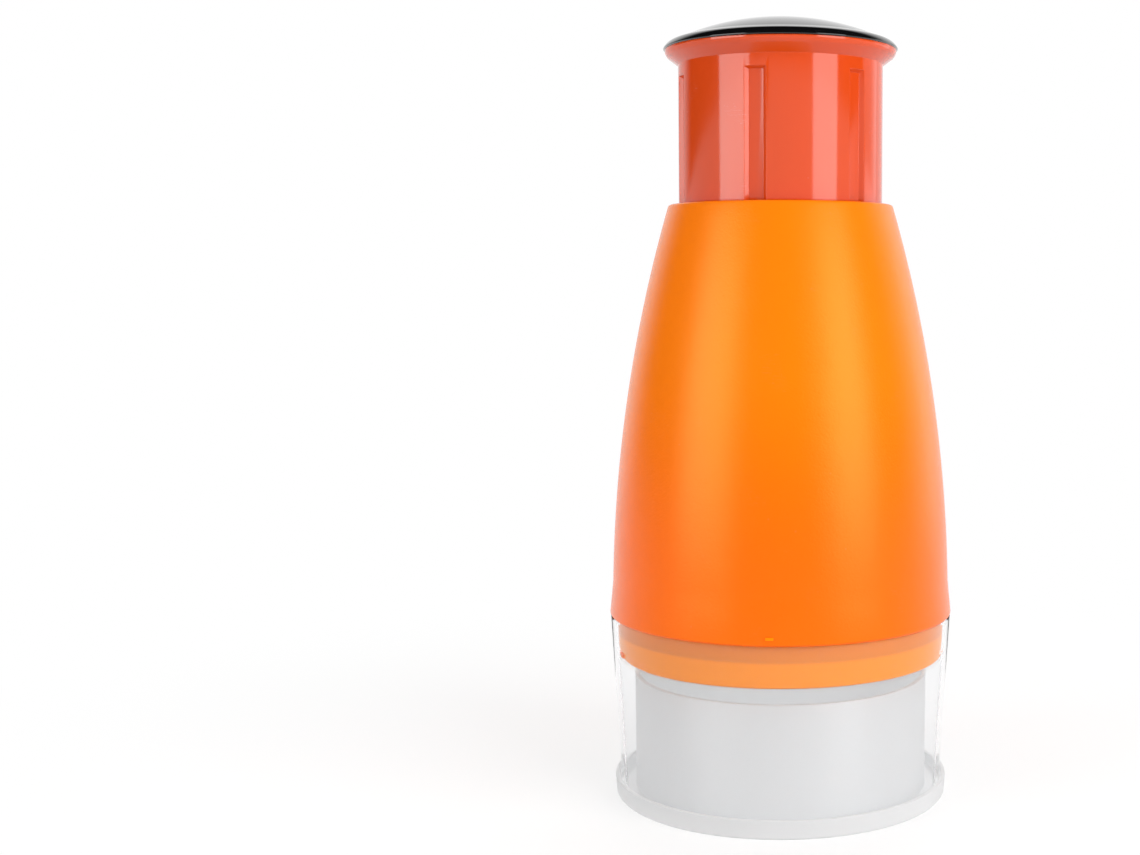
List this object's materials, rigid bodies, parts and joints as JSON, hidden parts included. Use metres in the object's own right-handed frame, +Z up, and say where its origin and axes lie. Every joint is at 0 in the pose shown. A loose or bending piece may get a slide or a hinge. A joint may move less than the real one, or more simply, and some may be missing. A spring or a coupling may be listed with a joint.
{
  "type": "garlic chopper",
  "caption": "Press-down garlic and herb chopper: a domed plunger in a bell-shaped body drives a turning zigzag blade into a cup inside a clear guard.",
  "frame": {"origin": "centre of the tray's underside, on the surface that the chopper stands on", "axes": "+Z up along the plunger's axis, -Y towards the front, where the alignment mark is, +X to the right seen from the front"},
  "size_m": [0.0974, 0.0975, 0.2185],
  "materials": {
    "orange_body": "satin orange moulding with a very fine grain",
    "red_plunger": "polished red-orange moulding",
    "black_cap": "polished black moulding",
    "clear_guard": "clear polished moulding",
    "milky_cup": "milky translucent moulding",
    "white_inner": "plain white moulding",
    "blade_steel": "polished stainless strip, ground at the edge",
    "plain_steel": "plain stainless steel"
  },
  "bodies": {
    "tray": {"tray_cup": "milky_cup"},
    "guard": {"clear_guard": "clear_guard"},
    "housing": {"body_shell": "orange_body", "guide_collar": "orange_body", "screw_posts": "orange_body", "neck_ring": "orange_body", "wiper_retainer": "white_inner", "bearing_plate": "white_inner", "plate_screws": "plain_steel", "cam_sleeve": "white_inner", "seat_washer": "plain_steel", "return_spring": "plain_steel"},
    "plunger": {"plunger_tube": "red_plunger", "plunger_bridge": "red_plunger", "shaft_bush": "red_plunger", "cap_dome": "black_cap"},
    "blade_unit": {"blade_shaft": "plain_steel", "cross_pin": "plain_steel", "thrust_washer": "plain_steel", "top_washer": "plain_steel", "top_screw": "plain_steel", "blade_carrier": "white_inner", "blade_clamp": "white_inner", "clamp_screws": "plain_steel", "carrier_screw": "plain_steel", "zigzag_blade": "blade_steel"},
    "wiper": {"wiper_disc": "white_inner"}
  },
  "joints": [
    {"name": "guard_lift", "type": "slide", "parent": "tray", "child": "guard", "axis": [0, 0, 1], "range_m": [0, 0.08]},
    {"name": "housing_twist", "type": "hinge", "parent": "guard", "child": "housing", "pos_m": [0, 0, 0.045], "axis": [0, 0, 1], "range_deg": [-30, 0]},
    {"name": "plunger_press", "type": "slide", "parent": "housing", "child": "plunger", "axis": [0, 0, -1], "range_m": [0, 0.0375], "stiffness_N_per_m": 350, "springref_m": -0.03, "deforming": ["return_spring"]},
    {"name": "blade_turn", "type": "hinge", "parent": "plunger", "child": "blade_unit", "pos_m": [0, 0, 0.2], "axis": [0, 0, 1], "range_deg": [0, 60.5]},
    {"name": "wiper_turn", "type": "hinge", "parent": "housing", "child": "wiper", "pos_m": [0, 0, 0.0427], "axis": [0, 0, 1], "range_deg": [0, 60.5]}
  ],
  "couplings": [
    {"joint": "blade_turn", "follows": "plunger_press", "rad_per_m": 27.925},
    {"joint": "wiper_turn", "follows": "plunger_press", "rad_per_m": 27.925}
  ]
}
